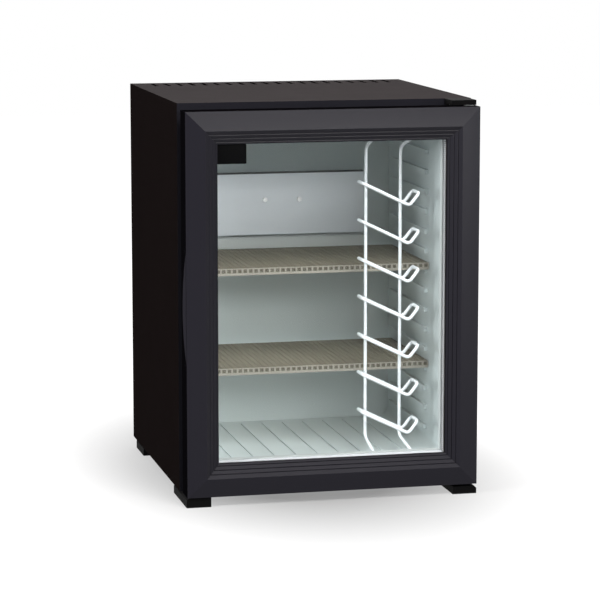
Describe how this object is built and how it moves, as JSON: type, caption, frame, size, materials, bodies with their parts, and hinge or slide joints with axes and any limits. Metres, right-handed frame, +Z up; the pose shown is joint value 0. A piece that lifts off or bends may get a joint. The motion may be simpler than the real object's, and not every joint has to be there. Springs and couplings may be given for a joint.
{
  "type": "minibar fridge",
  "caption": "Small hotel minibar fridge: dark steel case, mitred glass door hinged on the right, clear grid shelves, wire bottle rack and a rear absorption cooling unit.",
  "frame": {"origin": "centre of the object's box at floor level, under the feet", "axes": "+Z up, -Y towards the user in front of the door, +X to the user's right, the hinge side"},
  "size_m": [0.4032, 0.426, 0.531],
  "materials": {
    "case_paint": "satin",
    "bare_steel": "satin",
    "liner_white": "satin",
    "foam": "matte",
    "foot_black": "matte",
    "hinge_black": "satin",
    "pin_steel": "polished",
    "screw_steel": "satin",
    "cold_plate": "satin",
    "gutter_white": "satin",
    "unit_black": "matte",
    "boiler_steel": "satin",
    "control_plastic": "satin",
    "shelf_clear": "gloss",
    "frame_anthracite": "satin",
    "key_aluminium": "satin",
    "door_glass": "polished",
    "spacer_aluminium": "satin",
    "seal_black": "matte",
    "inner_plastic": "satin",
    "gasket_rubber": "matte",
    "magnet": "matte",
    "bush_plastic": "satin",
    "wire_white": "satin",
    "clip_white": "satin"
  },
  "bodies": {
    "cabinet": {"outer_case": "case_paint", "base_pan": "bare_steel", "back_plate": "bare_steel", "inner_liner": "liner_white", "insulation_foam": "foam", "front_foot_left": "foot_black", "front_foot_right": "foot_black", "rear_feet": "foot_black", "foot_screws": "screw_steel", "top_hinge_bracket": "hinge_black", "top_hinge_pin": "pin_steel", "top_hinge_cover": "foot_black", "bottom_hinge_bracket": "hinge_black", "bottom_hinge_pin": "pin_steel", "hinge_screws": "screw_steel", "evaporator_plate": "cold_plate", "evaporator_block": "cold_plate", "evaporator_screws": "screw_steel", "drip_gutter": "gutter_white", "drain_tube": "gutter_white", "temperature_sensor": "gutter_white", "boiler_casing": "boiler_steel", "heater_cartridge": "pin_steel", "vapour_pipe": "unit_black", "condenser_pipe": "unit_black", "condenser_fins": "unit_black", "evaporator_pipe": "unit_black", "absorber_coil": "unit_black", "absorber_vessel": "unit_black", "return_pipe": "unit_black", "condenser_brackets": "bare_steel", "absorber_brackets": "bare_steel", "boiler_strap": "bare_steel", "unit_screws": "screw_steel", "control_box": "control_plastic", "control_box_lid": "control_plastic", "cable_gland": "control_plastic"},
    "door": {"door_frame_top": "frame_anthracite", "door_frame_bottom": "frame_anthracite", "door_frame_left": "frame_anthracite", "door_frame_right": "frame_anthracite", "corner_keys": "key_aluminium", "outer_glass": "door_glass", "inner_glass": "door_glass", "glazing_spacer": "spacer_aluminium", "glazing_seal": "seal_black", "inner_door_frame": "inner_plastic", "door_gasket": "gasket_rubber", "gasket_magnets": "magnet", "door_pull": "frame_anthracite", "top_hinge_bush": "bush_plastic", "bottom_hinge_bush": "bush_plastic", "rack_uprights": "wire_white", "rack_cradles": "wire_white", "rack_clips": "clip_white"},
    "upper_shelf": {"upper_shelf": "shelf_clear"},
    "lower_shelf": {"lower_shelf": "shelf_clear"}
  },
  "joints": [
    {"name": "door_swing", "type": "hinge", "parent": "cabinet", "child": "door", "pos_m": [0.1885, -0.183, 0.2694], "axis": [0, 0, 1], "range_deg": [0, 120]},
    {"name": "upper_shelf_slide", "type": "slide", "parent": "cabinet", "child": "upper_shelf", "axis": [0, -1, 0], "range_m": [0, 0.025]},
    {"name": "lower_shelf_slide", "type": "slide", "parent": "cabinet", "child": "lower_shelf", "axis": [0, -1, 0], "range_m": [0, 0.025]}
  ]
}
